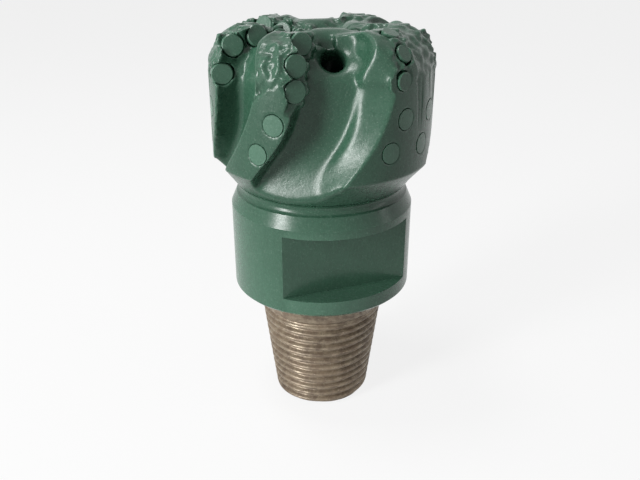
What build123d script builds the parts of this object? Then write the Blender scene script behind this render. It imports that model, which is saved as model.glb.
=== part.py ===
from build123d import *
import math
import os

# A fixed-cutter drill bit, standing on the end of its threaded pin, with +Z towards the cutting head.
# The origin is on the axis at the pin's end face. Sizes are in millimetres and angles in degrees.
# Azimuth is measured from the front (-Y) towards +X, which is the way that the bit turns.

# Pin and shank
PIN_LENGTH = 77.0
PIN_BASE_RADIUS = 38.1
PIN_TAPER = 1 / 8  # radius lost for each millimetre of length
PIN_END_CHAMFER = 2.5
WATER_BORE_RADIUS = 15.9
COLLAR_RADIUS = 51.6
SHOULDER_BEVEL = 1.6
COLLAR_HEIGHT = 50.2
COLLAR_CHAMFER_HEIGHT = 7.1
COLLAR_CHAMFER_DEPTH = 3.1
SOCKET_WALL = 8.5
SOCKET_DEPTH = 24.0
SOCKET_CLEARANCE = 0.05
SOCKET_FLOOR_GAP = 1.0

# Flats for the bit breaker
BREAKER_HEIGHT = 36.6
BREAKER_ABOVE_SHOULDER = 9.4
BREAKER_DEPTH = 14.7
BREAKER_AZIMUTH = 20.7

# Weld between shank and crown, a concave groove
WELD_HEIGHT = 6.4
WELD_HOLLOW = 2.2
WELD_DEPTH = 7.0

# Crown
CROWN_FOOT_STEP = 3.8
CROWN_FOOT_HEIGHT = 5.0
CROWN_CONE_HEIGHT = 9.3
GAUGE_RADIUS = 60.3
GAUGE_LENGTH = 48.0
SHOULDER_ARC = 22.0
CONE_DROP = 9.0  # the centre lies this much below the nose

# Junk slots. Their walls lean back with the blades, more and more towards the bottom.
SPIRAL_LINEAR = 0.162
SPIRAL_SQUARE = 0.00805
SPIRAL_BELOW_GAUGE_TOP = 1.0
SPIRAL_PAST_GAUGE = 4.0
LEADING_WALL_TURN = 4.0
FLANK_DEPTH = 9.8  # the trailing flank slopes in to this depth, then steps down to the floor
STEP_LEAN = 3.0
SLOT_DEPTH = 14.8
SLOT_OPEN_RADIUS = 13.7  # how far the slots' cutters reach out past the gauge
SLOT_CORNER_RADIUS = 5.0
FLANK_CORNER_RADIUS = 2.5
# Heights above the bottom of the gauge, with how far the floor has risen there from the slot's depth
SLOT_RUNOUT = ((-16.0, 11.0), (-8.0, 6.3), (2.0, 3.2), (13.0, 0.9))
SLOT_STRAIGHT = (18.0, 1.0)  # below the top of the gauge
# Depths below the nose, with how far the floor has fallen in from the slot's depth
PLAIN_SLOT_TOP = ((14.0, 4.0), (3.5, 12.0), (-14.5, 27.0))

# Channels that carry each slot over the nose, ahead of the blade
CHANNEL_WIDTH = 6.5
CHANNEL_DEPTH = 7.0
CHANNEL_INNER_RADIUS = 12.0
CHANNEL_CORNER_RADIUS = 2.5
CHANNEL_OFFSET = 0.6

# Nozzle ports, and the slanted pockets that they open into
PORT_RADIUS = 6.35
PORT_MOUTH_RADIUS = 9.25
PORT_MOUTH_DEPTH = 2.5
PORT_ELEVATION = 38.0
PORT_INSET = 9.5  # from the slot's floor
PORT_BELOW_NOSE = 12.4
PORT_SHARE = 0.42  # of the way across its slot
POCKET_RADIUS = 15.5
POCKET_CORNER_RADIUS = 6.0
POCKET_FLARE = 1.6
POCKET_DEPTH = 14.5  # from the slot's floor inward

# Cutters, back-up studs and gauge inserts
CUTTER_RADIUS = 5.5
CUTTER_LENGTH = 9.0
CUTTER_BEVEL = 0.45
CUTTER_SETBACK = 2.4  # degrees behind the blade's leading edge
CUTTER_DEPTH = 4.3  # from the crown's outline to the middle of a cutter's face
CUTTER_CLEARANCE_AHEAD = 12.0
CUTTER_SPACING = 0.35
BACK_RAKE = 15.0
SIDE_FACING = 52.0  # for cutters that look mostly outward
SIDE_FACING_SLOPE = 10.0
BRAZE_GAP = 0.1
STUD_RADIUS = 4.4
STUD_LENGTH = 6.0
STUD_PROUD = 0.8
STUD_SPACING = 0.5
INSERT_RADIUS = 5.2
INSERT_LENGTH = 8.0
INSERT_HEIGHTS = (14.0, 29.5)  # above the bottom of the gauge

SHOULDER_Z = PIN_LENGTH
COLLAR_TOP_Z = SHOULDER_Z + COLLAR_HEIGHT
NECK_Z = COLLAR_TOP_Z + COLLAR_CHAMFER_HEIGHT
NECK_RADIUS = COLLAR_RADIUS - COLLAR_CHAMFER_DEPTH
WELD_ROOT_RADIUS = NECK_RADIUS - WELD_DEPTH
SOCKET_RADIUS = WELD_ROOT_RADIUS - SOCKET_WALL
CROWN_FOOT_RADIUS = NECK_RADIUS + CROWN_FOOT_STEP
WELD_TOP_Z = NECK_Z + WELD_HEIGHT
WELD_MIDDLE_Z = NECK_Z + WELD_HEIGHT / 2
FOOT_Z = WELD_TOP_Z + CROWN_FOOT_HEIGHT
GAUGE_LOW_Z = FOOT_Z + CROWN_CONE_HEIGHT
GAUGE_HIGH_Z = GAUGE_LOW_Z + GAUGE_LENGTH
NOSE_RADIUS = GAUGE_RADIUS - SHOULDER_ARC
NOSE_Z = GAUGE_HIGH_Z + SHOULDER_ARC
CONE_ANGLE = math.degrees(math.atan2(CONE_DROP, NOSE_RADIUS))
SLOT_FLOOR_RADIUS = GAUGE_RADIUS - SLOT_DEPTH
PORT_CENTRE_RADIUS = SLOT_FLOOR_RADIUS - PORT_INSET
PORT_CENTRE_Z = NOSE_Z - PORT_BELOW_NOSE
PLENUM_Z = PORT_CENTRE_Z - PORT_CENTRE_RADIUS * math.tan(math.radians(PORT_ELEVATION))
CUTTER_PITCH = 2 * CUTTER_RADIUS + CUTTER_SPACING
STUD_PITCH = 2 * STUD_RADIUS + STUD_SPACING

# Each blade: name, azimuths of its trailing and leading edges at the top, how far its trailing wall is
# turned from radial, the share of the spiral that its leading edge follows, and whether a nozzle port
# lies ahead of it.
BLADES = (
    ("a", -88.0, -60.0, 20.0, 0.7, False),
    ("b", -31.5, -10.0, 26.0, 1.0, True),
    ("c", 36.3, 92.0, 42.0, 1.0, True),
    ("d", 135.0, 167.0, 36.0, 1.0, True),
    ("e", 212.0, 242.0, 36.0, 1.0, False),
)
# Cutters of each blade: place along the crown's outline in cutter pitches, measured inward from the top
# of the gauge, and whether the cutter looks outward.
CUTTERS = {
    "a": ((0.0, False), (1.37, False), (2.64, False), (3.80, False)),
    "b": ((-0.23, True), (0.81, True), (2.04, True), (3.60, False)),
    "c": ((0.04, False), (1.22, False), (2.40, False), (3.48, False), (4.50, False)),
    "d": ((-0.09, False), (1.09, False), (2.27, False), (3.37, False)),
    "e": ((0.18, False), (1.36, False), (2.54, False), (3.63, False), (4.66, False)),
}
# Back-up studs of each blade: degrees behind the leading edge, and place along the outline in pitches
STUDS = {
    "c": ((46.5, 2.96), (48.5, 1.48), (51.5, 0.05)),
    "d": ((21.0, 2.40), (21.0, 0.80)),
    "e": ((20.0, 2.50), (20.0, 0.90)),
}
# Gauge inserts of each blade: degrees behind the leading edge
INSERTS = {"a": (10.0,), "b": (7.2,), "c": (20.0, 43.5), "d": (16.0,), "e": (15.0,)}


def polar(radius, azimuth, z=0.0):
    """The point at a radius and an azimuth from the front."""
    a = math.radians(azimuth)
    return Vector(radius * math.sin(a), -radius * math.cos(a), z)


def lean(z):
    """How far the blades trail, in degrees, at a height."""
    top = GAUGE_HIGH_Z - SPIRAL_BELOW_GAUGE_TOP
    down = top - max(z, GAUGE_LOW_Z - SPIRAL_PAST_GAUGE)
    down = max(down, 0.0)
    return SPIRAL_LINEAR * down + SPIRAL_SQUARE * down**2


def outline_point(place, depth):
    """A point at a depth under the crown's outline, as (radius, z, angle of the outward normal)."""
    reach = SHOULDER_ARC - depth
    arc_length = reach * math.radians(90 + CONE_ANGLE)
    angle = math.degrees(min(place, arc_length) / reach)
    radius = NOSE_RADIUS + reach * math.cos(math.radians(angle))
    z = GAUGE_HIGH_Z + reach * math.sin(math.radians(angle))
    past = max(0.0, place - arc_length)
    slope = math.radians(CONE_ANGLE)
    return radius - past * math.cos(slope), z - past * math.sin(slope), angle


# Slots and ports


def wall_point(edge_azimuth, turn, radius):
    """Where a slot wall, running inward from the gauge edge, meets a radius."""
    edge = polar(GAUGE_RADIUS, edge_azimuth)
    way = polar(1.0, edge_azimuth + turn)
    along = edge.dot(way)
    return edge + way * (math.sqrt(radius**2 - (GAUGE_RADIUS**2 - along**2)) - along)


def slot_section(blade, following, z, floor_radius):
    """A slot's closed outline at one height, from a blade's leading edge to the following blade."""
    start = blade[2] - blade[4] * lean(z)
    end = following[1] - lean(z)
    outer = GAUGE_RADIUS + SLOT_OPEN_RADIUS
    flank_foot = wall_point(end, following[3], max(floor_radius + 1.0, GAUGE_RADIUS - FLANK_DEPTH))
    foot_azimuth = math.degrees(math.atan2(flank_foot.X, -flank_foot.Y))
    corners = [
        wall_point(start, LEADING_WALL_TURN, outer),
        wall_point(start, LEADING_WALL_TURN, floor_radius),
        polar(floor_radius, foot_azimuth - STEP_LEAN),
        flank_foot,
        wall_point(end, following[3], outer),
    ]
    face = make_face(Polyline(*[Vector(p.X, p.Y, z) for p in corners], close=True))
    floor = [v for v in face.vertices() if math.hypot(v.X, v.Y) < floor_radius + 0.5]
    step = (flank_foot - corners[2]).length
    rounded = fillet(floor, min(SLOT_CORNER_RADIUS, 0.4 * (corners[2] - corners[1]).length, 0.6 * step))
    foot = [v for v in rounded.vertices() if (Vector(v.X, v.Y, 0) - flank_foot).length < 0.01]
    return fillet(foot, min(FLANK_CORNER_RADIUS, 0.3 * step))


def slot(blade, following, levels):
    """A lofted cutter for one junk slot, through (height, floor radius)."""
    return loft([slot_section(blade, following, z, radius) for z, radius in levels])


def lower_levels():
    """The levels of a slot from its run-out at the neck up to the top of the gauge."""
    runout = [(GAUGE_LOW_Z + height, SLOT_FLOOR_RADIUS + rise) for height, rise in SLOT_RUNOUT]
    return runout + [(GAUGE_HIGH_Z - below, SLOT_FLOOR_RADIUS) for below in SLOT_STRAIGHT]


def channel(blade):
    """A channel over the nose, along the blade's leading wall."""
    way = polar(1.0, blade[2] + LEADING_WALL_TURN)
    ahead = polar(1.0, blade[2] + LEADING_WALL_TURN + 90.0)
    edge = polar(GAUGE_RADIUS, blade[2])
    start = edge - way * (edge.dot(way) - CHANNEL_INNER_RADIUS) + ahead * CHANNEL_OFFSET
    low = NOSE_Z - CHANNEL_DEPTH
    plane = Plane(origin=(start.X, start.Y, low), x_dir=way, z_dir=(0, 0, 1))
    body = Box(GAUGE_RADIUS, CHANNEL_WIDTH, 2 * CHANNEL_DEPTH, align=(Align.MIN, Align.MIN, Align.MIN))
    floor = body.faces().sort_by(Axis.Z)[0].edges()
    inner = body.edges().filter_by(Axis.Z).sort_by(Axis.X)[:2]
    return plane * fillet(floor.filter_by(Axis.X) + inner, CHANNEL_CORNER_RADIUS)


def port_plane(azimuth):
    """The plane of a nozzle port's face: its z direction is the way that the jet leaves."""
    rise = math.radians(PORT_ELEVATION)
    out = polar(math.cos(rise), azimuth, math.sin(rise))
    origin = polar(PORT_CENTRE_RADIUS, azimuth, PORT_CENTRE_Z)
    return Plane(origin=origin, x_dir=polar(1.0, azimuth + 90.0), z_dir=out)


def nozzle_pocket(blade, following, azimuth):
    """The room above a port's slanted face: the slot's own width, with a round end about the port."""
    base = Align.CENTER, Align.CENTER, Align.MIN
    levels = [(z, SLOT_FLOOR_RADIUS - POCKET_DEPTH) for z in (GAUGE_LOW_Z, NOSE_Z, NOSE_Z + POCKET_RADIUS)]
    reach = 2 * (GAUGE_RADIUS + SLOT_OPEN_RADIUS)
    wide = slot(blade, following, levels) & (port_plane(azimuth) * Box(reach, reach, reach, align=base))
    turned = math.sqrt(0.5) * POCKET_CORNER_RADIUS
    flat = POCKET_RADIUS - POCKET_CORNER_RADIUS
    top = (POCKET_RADIUS * POCKET_FLARE, 0, GAUGE_RADIUS)
    side = (POCKET_RADIUS, 0, POCKET_CORNER_RADIUS)
    outline = Curve() + [
        Line((0, 0, 0), (flat, 0, 0)),
        ThreePointArc((flat, 0, 0), (flat + turned, 0, POCKET_CORNER_RADIUS - turned), side),
        Polyline(side, top, (0, 0, GAUGE_RADIUS), (0, 0, 0)),
    ]
    return wide + port_plane(azimuth) * revolve(make_face(outline), Axis.Z)


def port_cut(azimuth):
    """A port's mouth and its waterway in from the plenum, as one turned shape."""
    reach = PORT_CENTRE_RADIUS / math.cos(math.radians(PORT_ELEVATION))
    points = [
        (0, -reach),
        (PORT_RADIUS, -reach),
        (PORT_RADIUS, -PORT_MOUTH_DEPTH),
        (PORT_MOUTH_RADIUS, 0),
        (PORT_MOUTH_RADIUS + PORT_MOUTH_DEPTH, PORT_MOUTH_DEPTH),
        (0, PORT_MOUTH_DEPTH),
    ]
    return port_plane(azimuth) * revolved(points)


# Turned shapes


def revolved(points):
    """A solid of revolution from (radius, z) points."""
    face = make_face(Polyline(*[(r, 0, z) for r, z in points], close=True))
    return revolve(face, Axis.Z)


def make_shank():
    """The steel shank: tapered pin, shoulder, collar with breaker flats, and the socket for the crown."""
    end_radius = PIN_BASE_RADIUS - PIN_LENGTH * PIN_TAPER
    body = revolved(
        [
            (WATER_BORE_RADIUS, 0),
            (end_radius - PIN_END_CHAMFER, 0),
            (end_radius + PIN_END_CHAMFER * PIN_TAPER, PIN_END_CHAMFER),
            (PIN_BASE_RADIUS, PIN_LENGTH),
            (COLLAR_RADIUS - SHOULDER_BEVEL, SHOULDER_Z),
            (COLLAR_RADIUS, SHOULDER_Z + SHOULDER_BEVEL),
            (COLLAR_RADIUS, COLLAR_TOP_Z),
            (NECK_RADIUS, NECK_Z),
            (WELD_ROOT_RADIUS, WELD_MIDDLE_Z),
            (SOCKET_RADIUS, WELD_MIDDLE_Z),
            (SOCKET_RADIUS, WELD_MIDDLE_Z - SOCKET_DEPTH),
            (WATER_BORE_RADIUS, WELD_MIDDLE_Z - SOCKET_DEPTH),
        ]
    )
    depth = COLLAR_RADIUS
    for turn in (0, 180):
        way = polar(1.0, BREAKER_AZIMUTH + turn)
        centre = way * (COLLAR_RADIUS - BREAKER_DEPTH + depth / 2)
        low = SHOULDER_Z + BREAKER_ABOVE_SHOULDER
        plane = Plane(origin=(centre.X, centre.Y, low), x_dir=way, z_dir=(0, 0, 1))
        block = Box(depth, 3 * COLLAR_RADIUS, BREAKER_HEIGHT, align=(Align.CENTER, Align.CENTER, Align.MIN))
        body -= plane * block
    return body


def make_weld():
    """The weld ring: a V root and a concave, dressed outside."""
    low = (NECK_RADIUS, 0, NECK_Z)
    root = (WELD_ROOT_RADIUS, 0, WELD_MIDDLE_Z)
    high = (NECK_RADIUS, 0, WELD_TOP_Z)
    hollow = (NECK_RADIUS - WELD_HOLLOW, 0, WELD_MIDDLE_Z)
    outline = Curve() + [Polyline(low, root, high), ThreePointArc(high, hollow, low)]
    return revolve(make_face(outline), Axis.Z)


def make_envelope():
    """The crown before its slots are cut: foot, cone, gauge, shoulder arc, nose and inner cone."""
    spigot = SOCKET_RADIUS - SOCKET_CLEARANCE
    spigot_low = WELD_MIDDLE_Z - SOCKET_DEPTH + SOCKET_FLOOR_GAP
    middle = math.sqrt(0.5) * SHOULDER_ARC
    edges = [
        Polyline(
            (0, 0, NOSE_Z - CONE_DROP),
            (0, 0, spigot_low),
            (spigot, 0, spigot_low),
            (spigot, 0, WELD_MIDDLE_Z),
            (WELD_ROOT_RADIUS, 0, WELD_MIDDLE_Z),
            (NECK_RADIUS, 0, WELD_TOP_Z),
            (CROWN_FOOT_RADIUS, 0, FOOT_Z),
            (GAUGE_RADIUS, 0, GAUGE_LOW_Z),
            (GAUGE_RADIUS, 0, GAUGE_HIGH_Z),
        ),
        ThreePointArc(
            (GAUGE_RADIUS, 0, GAUGE_HIGH_Z),
            (NOSE_RADIUS + middle, 0, GAUGE_HIGH_Z + middle),
            (NOSE_RADIUS, 0, NOSE_Z),
        ),
        Line((NOSE_RADIUS, 0, NOSE_Z), (0, 0, NOSE_Z - CONE_DROP)),
    ]
    return revolve(make_face(Curve() + edges), Axis.Z)


def make_crown():
    """The crown with its waterway, ports and junk slots, before the cutter pockets."""
    crown = make_envelope()
    base = Align.CENTER, Align.CENTER, Align.MIN
    crown -= Cylinder(WATER_BORE_RADIUS, PLENUM_Z, align=base)
    crown -= Pos(0, 0, PLENUM_Z) * Sphere(WATER_BORE_RADIUS)
    first = BLADES[0]
    wrapped = (first[0], first[1] + 360, *first[2:])
    lower = lower_levels()
    over = [(NOSE_Z - below, SLOT_FLOOR_RADIUS - fall) for below, fall in PLAIN_SLOT_TOP]
    for blade, following in zip(BLADES, BLADES[1:] + (wrapped,)):
        if blade[5]:
            azimuth = blade[2] + PORT_SHARE * (following[1] - blade[2])
            crown -= slot(blade, following, lower)
            crown -= nozzle_pocket(blade, following, azimuth)
            crown -= port_cut(azimuth)
        else:
            crown -= slot(blade, following, lower + over)
        crown -= channel(blade)
    return crown


# Cutters, studs and inserts. Each is made at its own plane, whose z direction points out of its pocket.


def cutter_plane(leading, pitches, outward_facing):
    """The plane of a cutter's face."""
    radius, z, angle = outline_point(pitches * CUTTER_PITCH, CUTTER_DEPTH)
    azimuth = leading - CUTTER_SETBACK
    tilt, slope = (SIDE_FACING, SIDE_FACING_SLOPE) if outward_facing else (BACK_RAKE, angle)
    rise = math.radians(slope)
    outward = polar(math.cos(rise), azimuth, math.sin(rise))
    ahead = polar(1.0, azimuth + 90.0)
    facing = ahead * math.cos(math.radians(tilt)) + outward * math.sin(math.radians(tilt))
    return Plane(origin=polar(radius, azimuth, z), z_dir=facing)


def stud_plane(azimuth, pitches):
    """The plane of a back-up stud's flat top."""
    radius, z, angle = outline_point(pitches * STUD_PITCH, -STUD_PROUD)
    outward = polar(math.cos(math.radians(angle)), azimuth, math.sin(math.radians(angle)))
    return Plane(origin=polar(radius, azimuth, z), z_dir=outward)


def insert_plane(azimuth, z):
    """The plane that touches the gauge over an insert."""
    return Plane(origin=polar(GAUGE_RADIUS, azimuth, z), z_dir=polar(1.0, azimuth))


def button(radius, length):
    """A cylinder with its face on the plane and a bevelled edge."""
    body = Cylinder(radius, length, align=(Align.CENTER, Align.CENTER, Align.MAX))
    return chamfer(body.edges().sort_by(Axis.Z)[-1], CUTTER_BEVEL)


def button_pocket(radius, length, ahead):
    """A button's pocket: it bottoms on the button's back, with a braze gap round the side."""
    body = Cylinder(radius + BRAZE_GAP, length + ahead, align=(Align.CENTER, Align.CENTER, Align.MIN))
    return Pos(0, 0, -length) * body


def main():
    os.makedirs("parts", exist_ok=True)
    crown = make_crown()
    pieces = {}
    for name, _, leading, _, share, _ in BLADES:
        for i, (pitches, outward_facing) in enumerate(CUTTERS[name], start=1):
            plane = cutter_plane(leading, pitches, outward_facing)
            pieces[f"cutter_{name}{i}"] = plane * button(CUTTER_RADIUS, CUTTER_LENGTH)
            crown -= plane * button_pocket(CUTTER_RADIUS, CUTTER_LENGTH, CUTTER_CLEARANCE_AHEAD)
        for i, (behind, pitches) in enumerate(STUDS.get(name, ()), start=1):
            plane = stud_plane(leading - behind, pitches)
            pieces[f"stud_{name}{i}"] = plane * button(STUD_RADIUS, STUD_LENGTH)
            crown -= plane * button_pocket(STUD_RADIUS, STUD_LENGTH, 1.0)
        for i, behind in enumerate(INSERTS[name]):
            for j, height in enumerate(INSERT_HEIGHTS):
                z = GAUGE_LOW_Z + height
                plane = insert_plane(leading - share * lean(z) - behind, z)
                pin = plane * button_pocket(INSERT_RADIUS - BRAZE_GAP, INSERT_LENGTH, 5.0)
                inside = Cylinder(GAUGE_RADIUS, NOSE_Z, align=(Align.CENTER, Align.CENTER, Align.MIN))
                pieces[f"insert_{name}{2 * i + j + 1}"] = pin & inside
                crown -= plane * button_pocket(INSERT_RADIUS, INSERT_LENGTH, 5.0)
    pieces["crown"] = crown
    pieces["shank"] = make_shank()
    pieces["weld_ring"] = make_weld()
    for name, piece in pieces.items():
        export_step(piece, f"parts/{name}.step")


main()
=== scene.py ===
import math
import random

import bmesh
import bpy
from mathutils import Matrix, Vector, noise


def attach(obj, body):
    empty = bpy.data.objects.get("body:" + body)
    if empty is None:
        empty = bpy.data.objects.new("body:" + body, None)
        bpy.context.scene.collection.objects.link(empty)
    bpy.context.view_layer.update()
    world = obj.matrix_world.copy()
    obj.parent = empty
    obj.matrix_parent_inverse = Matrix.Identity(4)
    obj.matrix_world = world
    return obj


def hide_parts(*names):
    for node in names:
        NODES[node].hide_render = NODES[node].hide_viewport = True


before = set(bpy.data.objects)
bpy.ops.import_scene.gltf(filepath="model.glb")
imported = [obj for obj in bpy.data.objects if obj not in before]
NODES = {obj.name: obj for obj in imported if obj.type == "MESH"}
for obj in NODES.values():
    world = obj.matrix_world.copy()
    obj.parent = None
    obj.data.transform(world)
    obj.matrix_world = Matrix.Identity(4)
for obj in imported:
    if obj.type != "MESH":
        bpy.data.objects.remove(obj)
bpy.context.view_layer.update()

MM = 0.001

# Object facts, in millimetres and degrees, in the frame of the part
PIN_LENGTH = 77.0
PIN_BASE_RADIUS = 38.1
PIN_TAPER = 1 / 8
PIN_END_CHAMFER = 2.5
THREAD_PITCH = 5.08
THREAD_DEPTH = 2.6
THREAD_START = 12.7  # below the shoulder
WATER_BORE_RADIUS = 15.9
GAUGE_RADIUS = 60.3
GAUGE_LOW_Z = 155.0
GAUGE_HIGH_Z = 203.0
SHOULDER_ARC = 22.0
NOSE_RADIUS = GAUGE_RADIUS - SHOULDER_ARC
NOSE_Z = GAUGE_HIGH_Z + SHOULDER_ARC
CONE_SLOPE = math.atan2(9.0, NOSE_RADIUS)
SPIRAL = (0.162, 0.00805)
PORT_AZIMUTHS = (9.45, 110.06, 185.9)
PORT_CENTRE_RADIUS = 36.0
PORT_CENTRE_Z = 212.6
PORT_ELEVATION = math.radians(38.0)
BLADES = {  # trailing and leading azimuth at the top of the gauge, and share of the spiral
    "a": (-88.0, -60.0, 0.7),
    "b": (-31.5, -10.0, 1.0),
    "c": (36.3, 92.0, 1.0),
    "d": (135.0, 167.0, 1.0),
    "e": (212.0, 242.0, 1.0),
}

# The crown's surface mesh, in millimetres
FINE_VOXEL = 0.8
THINNED_QUADS = 95000
BOX_MARGIN = 0.05

# Camera: where it stands, from the shoulder face on the axis
CAMERA_BACK = 361.67
CAMERA_UP = 192.42
CAMERA_PITCH = 0.41
FOCAL_PIXELS = 669.5
IMAGE_WIDTH = 640
SENSOR_WIDTH = 36.0


def make_camera():
    """A camera that looks down at the front of the bit."""
    data = bpy.data.cameras.new("camera")
    camera = bpy.data.objects.new("camera", data)
    bpy.context.scene.collection.objects.link(camera)
    data.sensor_width = SENSOR_WIDTH
    data.lens = FOCAL_PIXELS / IMAGE_WIDTH * SENSOR_WIDTH
    data.shift_x = -0.0025
    data.shift_y = -0.03125
    data.clip_start = 0.01
    camera.location = (0, -CAMERA_BACK * MM, (PIN_LENGTH + CAMERA_UP) * MM)
    camera.rotation_euler = (math.pi / 2 - CAMERA_PITCH, 0, 0)
    bpy.context.scene.camera = camera


# Materials


class Nodes:
    """A short way to build a material's node tree."""

    def __init__(self, name):
        self.material = bpy.data.materials.new(name)
        self.material.use_nodes = True
        self.tree = self.material.node_tree
        self.shader = self.tree.nodes["Principled BSDF"]
        self.coordinates = self.add("ShaderNodeTexCoord").outputs["Object"]

    def add(self, kind, **values):
        node = self.tree.nodes.new(kind)
        for key, value in values.items():
            setattr(node, key, value)
        return node

    def link(self, source, target):
        self.tree.links.new(source, target)

    def noise(self, scale, detail=3.0, roughness=0.5, vector=None):
        node = self.add("ShaderNodeTexNoise")
        node.inputs["Scale"].default_value = scale
        node.inputs["Detail"].default_value = detail
        node.inputs["Roughness"].default_value = roughness
        self.link(vector or self.coordinates, node.inputs["Vector"])
        return node.outputs["Fac"]

    def ramp(self, source, stops):
        node = self.add("ShaderNodeValToRGB")
        elements = node.color_ramp.elements
        while len(elements) < len(stops):
            elements.new(0.5)
        for element, (position, colour) in zip(elements, stops):
            element.position = position
            element.color = colour if len(colour) == 4 else (*colour, 1.0)
        self.link(source, node.inputs["Fac"])
        return node.outputs["Color"]

    def mix(self, factor, a, b):
        node = self.add("ShaderNodeMix", data_type="RGBA")
        for socket, value in ((0, factor), (6, a), (7, b)):
            if isinstance(value, (int, float)):
                node.inputs[socket].default_value = value
            elif isinstance(value, tuple):
                node.inputs[socket].default_value = value if len(value) == 4 else (*value, 1.0)
            else:
                self.link(value, node.inputs[socket])
        return node.outputs[2]

    def math(self, operation, a, b=0.0):
        node = self.add("ShaderNodeMath", operation=operation)
        for socket, value in enumerate((a, b)):
            if isinstance(value, (int, float)):
                node.inputs[socket].default_value = value
            else:
                self.link(value, node.inputs[socket])
        return node.outputs[0]

    def bump(self, height, strength, distance, normal=None):
        node = self.add("ShaderNodeBump")
        node.inputs["Strength"].default_value = strength
        node.inputs["Distance"].default_value = distance
        self.link(height, node.inputs["Height"])
        if normal:
            self.link(normal, node.inputs["Normal"])
        return node.outputs["Normal"]


GREEN = (0.022, 0.066, 0.040)
# The two greens below are a lighter and a darker copy of GREEN: the painted highlight laid on convex edges
# and the painted shade laid in creases and hollows.
GREEN_HIGHLIGHT = (0.080, 0.175, 0.120)
GREEN_SHADE = (0.008, 0.026, 0.015)


def enamel(name, roughness=0.30, rough_spread=0.16, grain=0.35):
    """Green enamel, sprayed thinly over metal: it pools in broad patches and picks up dust, with a painted
    highlight on convex edges and painted shade in creases and hollows.
    """
    m = Nodes(name)
    broad = m.noise(28.0, 4.0, 0.6)
    fine = m.noise(420.0, 3.0, 0.6)
    speck = m.noise(1500.0, 2.0, 0.5)
    pooling = m.ramp(broad, [(0.35, (0, 0, 0)), (0.68, (1, 1, 1))])
    base = m.mix(pooling, GREEN, tuple(c * 1.22 for c in GREEN))
    pointiness = m.add("ShaderNodeNewGeometry").outputs["Pointiness"]
    # Convex edges, found by pointiness, are lightened to the lighter green: a painted highlight.
    edge_highlight_mask = m.ramp(pointiness, [(0.515, (0, 0, 0)), (0.60, (1, 1, 1))])
    # Creases and hollows, found by pointiness, are darkened to the darker green: painted shade.
    crease_shade_mask = m.ramp(pointiness, [(0.40, (1, 1, 1)), (0.487, (0, 0, 0))])
    edge_highlighted = m.mix(m.math("MULTIPLY", edge_highlight_mask, 0.55), base, GREEN_HIGHLIGHT)
    crease_shaded = m.mix(m.math("MULTIPLY", crease_shade_mask, 0.6), edge_highlighted, GREEN_SHADE)
    dust = m.ramp(speck, [(0.60, (0, 0, 0)), (0.72, (1, 1, 1))])
    dusted = m.mix(m.math("MULTIPLY", dust, 0.22), crease_shaded, (0.30, 0.40, 0.33))
    m.link(dusted, m.shader.inputs["Base Color"])
    spread = m.math("MULTIPLY", m.math("SUBTRACT", fine, 0.5), rough_spread * 2)
    m.link(m.math("ADD", spread, roughness), m.shader.inputs["Roughness"])
    m.shader.inputs["Specular IOR Level"].default_value = 0.28
    m.shader.inputs["Coat Weight"].default_value = 0.12
    m.shader.inputs["Coat Roughness"].default_value = 0.22
    ripple = m.bump(fine, grain, 0.00035)
    m.link(m.bump(speck, 0.15, 0.0001, ripple), m.shader.inputs["Normal"])
    return m.material


def pin_steel():
    """Bare steel under thread grease and rust."""
    m = Nodes("pin_steel")
    broad = m.noise(55.0, 5.0, 0.65)
    blotch = m.noise(240.0, 4.0, 0.7)
    speck = m.noise(900.0, 3.0, 0.6)
    browns = [(0.30, (0.085, 0.062, 0.042)), (0.52, (0.16, 0.118, 0.08)), (0.75, (0.24, 0.18, 0.12))]
    rust = m.ramp(broad, browns)
    greased = m.mix(m.ramp(blotch, [(0.42, (0, 0, 0)), (0.66, (1, 1, 1))]), rust, (0.27, 0.22, 0.155))
    pale = m.ramp(speck, [(0.60, (0, 0, 0)), (0.70, (1, 1, 1))])
    flecked = m.mix(m.math("MULTIPLY", pale, 0.55), greased, (0.46, 0.40, 0.31))
    m.link(flecked, m.shader.inputs["Base Color"])
    m.shader.inputs["Metallic"].default_value = 0.35
    dullness = m.ramp(blotch, [(0.35, (0.52, 0.52, 0.52)), (0.7, (0.25, 0.25, 0.25))])
    m.link(dullness, m.shader.inputs["Roughness"])
    m.link(m.bump(speck, 0.35, 0.0003, m.bump(blotch, 0.3, 0.0005)), m.shader.inputs["Normal"])
    return m.material


# Meshes


def new_object(name, mesh):
    piece = bpy.data.objects.new(name, mesh)
    bpy.context.scene.collection.objects.link(piece)
    return piece


def apply_modifiers(piece):
    """Bakes a piece's modifiers into its mesh."""
    graph = bpy.context.evaluated_depsgraph_get()
    mesh = bpy.data.meshes.new_from_object(piece.evaluated_get(graph))
    piece.modifiers.clear()
    old = piece.data
    piece.data = mesh
    bpy.data.meshes.remove(old)


def crest_radius(z):
    """The pin's outside radius at a height above its end, in millimetres."""
    taper = PIN_BASE_RADIUS - (PIN_LENGTH - z) * PIN_TAPER
    chamfer = max(0.0, PIN_END_CHAMFER - z)
    return taper - chamfer


def thread_depth(z, turn):
    """How deep the thread is cut at a height and a share of a turn."""
    phase = (z / THREAD_PITCH - turn) % 1.0
    across = abs(phase - 0.5) * 2  # 0 in the root, 1 on the crest
    groove = min(1.0, max(0.0, 1.0 - (across - 0.14) / 0.62))
    fade = min(1.0, max(0.0, (PIN_LENGTH - THREAD_START - z) / 4.0))
    return THREAD_DEPTH * groove * fade


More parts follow.
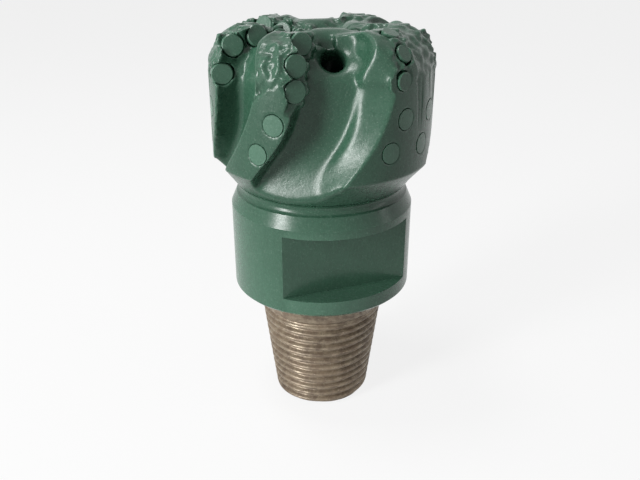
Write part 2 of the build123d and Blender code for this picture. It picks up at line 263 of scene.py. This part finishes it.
def make_pin():
    """The tapered pin with its right-hand thread."""
    around = 120
    rows = [i * 0.42 for i in range(int((PIN_LENGTH + 1.0) / 0.42) + 1)]
    mesh = bmesh.new()
    rings = []
    for z in rows:
        ring = []
        for i in range(around):
            turn = i / around
            angle = turn * math.tau
            wear = noise.noise(Vector((math.cos(angle) * 9, math.sin(angle) * 9, z * 0.5)))
            radius = crest_radius(min(z, PIN_LENGTH)) - thread_depth(z, turn) - 0.12 * max(0.0, wear)
            point = Vector((radius * math.cos(angle), radius * math.sin(angle), z))
            ring.append(mesh.verts.new(point * MM))
        rings.append(ring)
    inner = []
    bore = WATER_BORE_RADIUS + 0.3  # clear of the collar's own bore wall
    for z in (rows[-1], 0.0):
        angles = [i / around * math.tau for i in range(around)]
        points = [Vector((bore * math.cos(a), bore * math.sin(a), z)) for a in angles]
        inner.append([mesh.verts.new(point * MM) for point in points])
    loops = rings + inner + [rings[0]]
    for lower, upper in zip(loops, loops[1:]):
        for i in range(around):
            j = (i + 1) % around
            mesh.faces.new((lower[i], lower[j], upper[j], upper[i]))
    bmesh.ops.recalc_face_normals(mesh, faces=mesh.faces)
    data = bpy.data.meshes.new("pin")
    mesh.to_mesh(data)
    mesh.free()
    for polygon in data.polygons:
        polygon.use_smooth = True
    return new_object("pin", data)


def polar(radius, azimuth, z=0.0):
    """The point at a radius and an azimuth from the front, in millimetres."""
    a = math.radians(azimuth)
    return Vector((radius * math.sin(a), -radius * math.cos(a), z))


def lean(z):
    """How far the blades trail, in degrees, at a height."""
    down = max(0.0, GAUGE_HIGH_Z - 1.0 - max(z, GAUGE_LOW_Z - 4.0))
    return SPIRAL[0] * down + SPIRAL[1] * down**2


def outline(place, depth):
    """A point at a depth under the crown's outline, as (radius, z)."""
    reach = SHOULDER_ARC - depth
    turned = math.pi / 2 + CONE_SLOPE
    angle = min(place / reach, turned)
    past = max(0.0, place - turned * reach)
    radius = NOSE_RADIUS + reach * math.cos(angle) - past * math.cos(CONE_SLOPE)
    return radius, GAUGE_HIGH_Z + reach * math.sin(angle) - past * math.sin(CONE_SLOPE)


def bead(mesh, centre, radius, rng):
    """One lump of braze, in millimetres: a small, uneven ball."""
    place = Matrix.Translation(centre * MM)
    made = bmesh.ops.create_icosphere(mesh, subdivisions=2, radius=radius * MM, matrix=place)
    seed = Vector((rng.random() * 50, rng.random() * 50, rng.random() * 50))
    for vert in made["verts"]:
        away = vert.co - centre * MM
        vert.co = centre * MM + away * (1.0 + 0.3 * noise.noise(away / (radius * MM * 1.2) + seed))


def cutter_places():
    """Each cutter, stud and insert: its centre, the way it faces, its radius and half its length."""
    places = {}
    for name, node in NODES.items():
        if not name.startswith(("cutter", "stud", "insert")):
            continue
        points = [v.co for v in node.data.vertices]
        centre = sum(points, Vector()) / len(points) / MM
        spread = {}
        for polygon in node.data.polygons:
            key = tuple(abs(round(c, 2)) for c in polygon.normal)
            spread[key] = spread.get(key, 0.0) + polygon.area
        widest = max(spread, key=spread.get)
        flat = [p.normal for p in node.data.polygons if tuple(abs(round(c, 2)) for c in p.normal) == widest]
        axis = flat[0].normalized()
        outward = centre - Vector((0, 0, 150))
        if name.startswith("cutter"):
            outward = Vector((-centre.y, centre.x, 0))
        if axis.dot(outward) < 0:
            axis = -axis
        along = [(v / MM - centre).dot(axis) for v in points]
        aside = [((v / MM - centre) - axis * a).length for v, a in zip(points, along)]
        places[name] = (centre, axis, max(aside), max(along))
    return places


def main():
    make_camera()
    crown_paint = enamel("crown_enamel")
    collar_paint = enamel("collar_enamel", roughness=0.26, grain=0.12)
    for name, node in NODES.items():
        node.data.materials.clear()
        node.data.materials.append(collar_paint if name in ("shank", "weld_ring") else crown_paint)
    make_crown(crown_paint)
    make_shank(collar_paint)
    make_stage()


def keep_off_faces(centre, radius, places):
    """Whether a lump would cover a cutter's face or an insert."""
    for name, (middle, axis, reach, half) in places.items():
        away = centre - middle
        along = away.dot(axis)
        aside = (away - axis * along).length
        if name.startswith("insert") and aside < reach + radius and abs(along) < 12:
            return True
        if aside < reach + radius - (0.3 if name.startswith("cutter") else -0.3) and along > 0:
            hidden = math.sqrt(max(0.0, radius**2 - max(0.0, aside - reach + 0.3) ** 2))
            if along < 14 and along + hidden > half - 0.5:
                return True
    return False


def add_braze(mesh, places, rng):
    """Braze and hardfacing: lumps about the cutters and studs, ridges behind them, and edge beads."""
    spots = []
    for name, (centre, axis, reach, half) in places.items():
        if name.startswith("insert"):
            continue
        side = axis.cross(Vector((0.1, 0, 1))).normalized()
        up = side.cross(axis).normalized()
        for i in range(10):
            turn = math.tau * (i + 0.5 * rng.random()) / 10
            size = 2.2 + rng.random() * 0.9
            stud = name.startswith("stud")
            back = half - size + (0.9 if stud else -0.6) - rng.random() * 0.9
            away = reach + (1.9 if stud else 0.5) + rng.random() * 0.8
            ring = (side * math.cos(turn) + up * math.sin(turn)) * away
            spots.append((centre + ring + axis * back, size))
    for name, count in (("a", 16), ("b", 10), ("c", 26), ("d", 26), ("e", 26)):
        trailing, leading, _ = BLADES[name]
        for _ in range(count):
            size = 3.0 + rng.random() * 1.5
            radius, z = outline(3.0 + rng.random() * 34.0, size - 1.0 - rng.random() * 0.6)
            azimuth = leading - 2 - rng.random() * min(24.0, leading - trailing - 4) * 40 / max(radius, 22)
            spots.append((polar(radius, azimuth, z), size))
    for i in range(7):
        azimuth = BLADES["b"][0] + 3.0 + i * 2.6
        start = 1.0 + rng.random() * 4.0
        for step in range(5):
            radius, z = outline(start + step * 2.4, 1.1)
            spots.append((polar(radius, azimuth + 0.9 * math.sin(step + i * 2.0), z), 2.5))
    for i in range(9):
        azimuth = -29.0 + i * 2.3
        z = 196.5 + 0.055 * (100 - (azimuth + 19.0) ** 2)
        spots.append((polar(GAUGE_RADIUS - 1.8, azimuth, z + rng.random()), 2.6))
    for i in range(12):
        radius, z = outline(30.0 * i / 11, 1.3)
        spots.append((polar(radius, 47.0 + 2.0 * rng.random(), z), 2.6 + rng.random() * 0.6))
    for i in range(11):
        z = GAUGE_LOW_Z + 2.0 + i * 4.4
        azimuth = BLADES["a"][1] - BLADES["a"][2] * lean(z) - 1.6
        spots.append((polar(GAUGE_RADIUS - 2.0, azimuth, z + rng.random()), 2.2 + rng.random() * 0.6))
    for centre, size in spots:
        if not keep_off_faces(centre, size, places):
            bead(mesh, centre, size, rng)


def add_port_rims(mesh):
    """The rounded land behind each nozzle pocket, and the nose filled out beside the rear port.

    Known fault: the balls bury the faces of cutters b4, c4, c5 and d4, and reach into the rear port.
    """
    balls = []
    for azimuth in PORT_AZIMUTHS:
        for i in range(14):
            turn = math.radians(-32 + i * 9)
            spot = polar(PORT_CENTRE_RADIUS - 17.0 * math.cos(turn), azimuth)
            spot += polar(19.5 * math.sin(turn), azimuth + 90.0)
            drop = 8.2 + 2.2 * max(0.0, math.sin(turn)) ** 2
            balls.append((spot, NOSE_Z - drop, 8.0))
    size = 6
    for radius, azimuth in ((34, 171), (29, 173), (24, 176), (34, 207), (29, 205), (24, 202)):
        balls.append((polar(radius, azimuth), NOSE_Z - size - 1.4, size))
    for spot, height, size in balls:
        place = Matrix.Translation(Vector((spot.x, spot.y, height)) * MM)
        bmesh.ops.create_icosphere(mesh, subdivisions=3, radius=size * MM, matrix=place)


def soft_weight(point, places):
    """1 where the surface was milled and hand dressed smooth, 0 near cutters, inserts and port mouths."""
    p = point / MM
    for centre, _, reach, _ in places.values():
        if (p - centre).length < reach + 4.0:
            return 0.0
    if p.z > GAUGE_HIGH_Z - 8.0 and math.hypot(p.x, p.y) > 24.0:
        azimuth = math.degrees(math.atan2(p.x, -p.y))
        for trailing, leading, _ in BLADES.values():
            if trailing + 1.5 < azimuth < leading - 4 or trailing + 1.5 < azimuth + 360 < leading - 4:
                return 0.0
    for azimuth in PORT_AZIMUTHS:
        rise = PORT_ELEVATION
        out = polar(math.cos(rise), azimuth, math.sin(rise))
        origin = polar(PORT_CENTRE_RADIUS, azimuth, PORT_CENTRE_Z)
        away = p - origin
        if (away - out * away.dot(out)).length < 7.8 and abs(away.dot(out)) < 14:
            return 0.0
    if math.hypot(p.x, p.y) > GAUGE_RADIUS - 0.9 or p.z < GAUGE_LOW_Z - 14.0:
        return 0.0
    return 1.0


def braze_field(p, places):
    """How rough the braze is at a point: 1 over the blades' tops, 0 on pads, flanks and floors."""
    across = math.hypot(p.x, p.y)
    if across < 14.0 or p.z < 190.0:
        return 0.0
    azimuth = math.degrees(math.atan2(p.x, -p.y)) + lean(p.z)
    best = 0.0
    for name, (trailing, leading, _) in BLADES.items():
        turned = azimuth + 360 if azimuth < trailing - 40 else azimuth
        edge = min(turned - trailing, leading - turned) * across / 57.3
        arch = 196.0 + 0.05 * (100 - (turned + 19.0) ** 2) if name == "b" else 200.0
        best = max(best, min(1.0, max(0.0, edge / 2.5 + 0.6)) * min(1.0, max(0.0, (p.z - arch) / 1.5)))
    for name, (centre, _, reach, _) in places.items():
        if name.startswith("insert"):
            best = min(best, max(0.0, ((p - centre).length - reach - 1.0) / 3.0))
    return best


def roughen(piece, places):
    """Carves the hollows between runs of braze into the blades' tops."""
    normals = [vert.normal.copy() for vert in piece.data.vertices]
    for vert, normal in zip(piece.data.vertices, normals):
        p = vert.co / MM
        field = braze_field(p, places)
        if field <= 0.0:
            continue
        runs = noise.noise(Vector((p.x / 4.2, p.y / 4.2, p.z / 8.5)))
        drops = noise.noise(p / 3.1 + Vector((31, 17, 5)))
        depth = 0.75 + 1.15 * runs + 0.75 * drops
        vert.co -= normal * max(0.0, min(1.9, depth)) * field * MM


def make_crown(paint):
    """The crown as cast, milled and brazed: every edge worn round, with braze about the cutters."""
    rng = random.Random(7)
    places = cutter_places()
    mesh = bmesh.new()
    mesh.from_mesh(NODES["crown"].data)
    bmesh.ops.remove_doubles(mesh, verts=mesh.verts, dist=1e-6)
    add_braze(mesh, places, rng)
    add_port_rims(mesh)
    data = bpy.data.meshes.new("crown_surface")
    mesh.to_mesh(data)
    mesh.free()
    piece = new_object("crown_surface", data)
    remesh = piece.modifiers.new("remesh", "REMESH")
    remesh.mode = "VOXEL"
    remesh.voxel_size = FINE_VOXEL * MM
    smooth = piece.modifiers.new("smooth", "SMOOTH")
    smooth.factor = 0.5
    smooth.iterations = 2
    apply_modifiers(piece)
    group = piece.vertex_groups.new(name="soft")
    for vert in piece.data.vertices:
        weight = soft_weight(vert.co, places)
        if weight:
            group.add([vert.index], weight, "REPLACE")
    dress = piece.modifiers.new("dress", "SMOOTH")
    dress.factor = 0.5
    dress.iterations = 45
    dress.vertex_group = "soft"
    thin = piece.modifiers.new("thin", "DECIMATE")
    thin.ratio = min(1.0, THINNED_QUADS / len(piece.data.polygons))
    apply_modifiers(piece)
    piece.vertex_groups.clear()
    roughen(piece, places)
    for vert in piece.data.vertices:
        across = math.hypot(vert.co.x, vert.co.y)
        if across > (GAUGE_RADIUS - BOX_MARGIN) * MM:
            vert.co.xy *= (GAUGE_RADIUS - BOX_MARGIN) * MM / across
        vert.co.z = min(vert.co.z, (NOSE_Z - BOX_MARGIN) * MM)
    for polygon in piece.data.polygons:
        polygon.use_smooth = True
    piece.data.materials.clear()
    piece.data.materials.append(paint)
    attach(piece, "root")
    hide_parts("crown")


def make_shank(paint):
    """The collar, from the CAD mesh, and the threaded pin under it."""
    source = NODES["shank"]
    mesh = bmesh.new()
    mesh.from_mesh(source.data)
    below = (PIN_LENGTH - 0.5) * MM
    top = (PIN_LENGTH + 0.01) * MM
    low = [f for f in mesh.faces if f.calc_center_median().z < below]
    pin_faces = [f for f in low if all(v.co.z < top for v in f.verts)]
    bmesh.ops.delete(mesh, geom=pin_faces, context="FACES")
    data = bpy.data.meshes.new("collar")
    mesh.to_mesh(data)
    mesh.free()
    collar = new_object("collar", data)
    collar.data.materials.clear()
    collar.data.materials.append(paint)
    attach(collar, "root")
    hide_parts("shank")
    pin = make_pin()
    pin.data.materials.append(pin_steel())
    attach(pin, "root")


def seen_directly(tree):
    """1 for the camera's rays, and for those that a shiny or clear surface sends on."""
    path = tree.nodes.new("ShaderNodeLightPath")
    value = path.outputs["Is Camera Ray"]
    for kind in ("Is Glossy Ray", "Is Transmission Ray"):
        either = tree.nodes.new("ShaderNodeMath")
        either.operation = "MAXIMUM"
        tree.links.new(value, either.inputs[0])
        tree.links.new(path.outputs[kind], either.inputs[1])
        value = either.outputs[0]
    return value


def white_floor():
    """A white floor that keeps the object's shadow and shows white to the camera."""
    m = Nodes("floor_white")
    whites = m.ramp(m.noise(3.0), [(0.0, (0.72, 0.72, 0.72)), (1.0, (0.76, 0.76, 0.76))])
    m.link(whites, m.shader.inputs["Base Color"])
    m.shader.inputs["Roughness"].default_value = 0.9
    m.shader.inputs["Specular IOR Level"].default_value = 0.1
    glow = m.add("ShaderNodeEmission")
    glow.inputs["Color"].default_value = (1, 1, 1, 1)
    glow.inputs["Strength"].default_value = 1.0
    share = m.math("MULTIPLY", seen_directly(m.tree), 0.85)
    mixed = m.add("ShaderNodeMixShader")
    m.link(share, mixed.inputs[0])
    m.link(m.shader.outputs[0], mixed.inputs[1])
    m.link(glow.outputs[0], mixed.inputs[2])
    output = next(n for n in m.tree.nodes if n.type == "OUTPUT_MATERIAL")
    m.link(mixed.outputs[0], output.inputs["Surface"])
    return m.material


def make_stage():
    """A plain pale floor and backdrop, and soft studio light."""
    mesh = bpy.data.meshes.new("floor")
    size = 6.0
    corners = [(-size, -size, 0), (size, -size, 0), (size, size, 0), (-size, size, 0)]
    mesh.from_pydata(corners, [], [(0, 1, 2, 3)])
    floor = new_object("floor", mesh)
    floor.data.materials.append(white_floor())
    world = bpy.data.worlds.new("studio")
    bpy.context.scene.world = world
    world.use_nodes = True
    tree = world.node_tree
    back = tree.nodes["Background"]
    back.inputs["Color"].default_value = (1, 1, 1, 1)
    strength = tree.nodes.new("ShaderNodeMapRange")
    strength.inputs["To Min"].default_value = 0.08
    strength.inputs["To Max"].default_value = 1.0
    tree.links.new(seen_directly(tree), strength.inputs["Value"])
    tree.links.new(strength.outputs["Result"], back.inputs["Strength"])
    for name, place, power, size, height in (
        ("key", (-1.0, -0.8, 0.55), 24.0, 0.3, 0.9),
        ("top", (-0.3, 0.0, 1.2), 6.0, 0.3, 0.3),
        ("rim", (1.0, -0.1, 0.5), 0.8, 0.12, 0.9),
    ):
        light = bpy.data.lights.new(name, "AREA")
        light.energy = power
        light.shape = "RECTANGLE"
        light.size = size
        light.size_y = height
        lamp = bpy.data.objects.new(name, light)
        bpy.context.scene.collection.objects.link(lamp)
        lamp.location = place
        lamp.rotation_euler = (Vector((0, 0, 0.14)) - Vector(place)).to_track_quat("-Z", "Y").to_euler()
    bpy.context.scene.view_settings.view_transform = "Standard"


main()
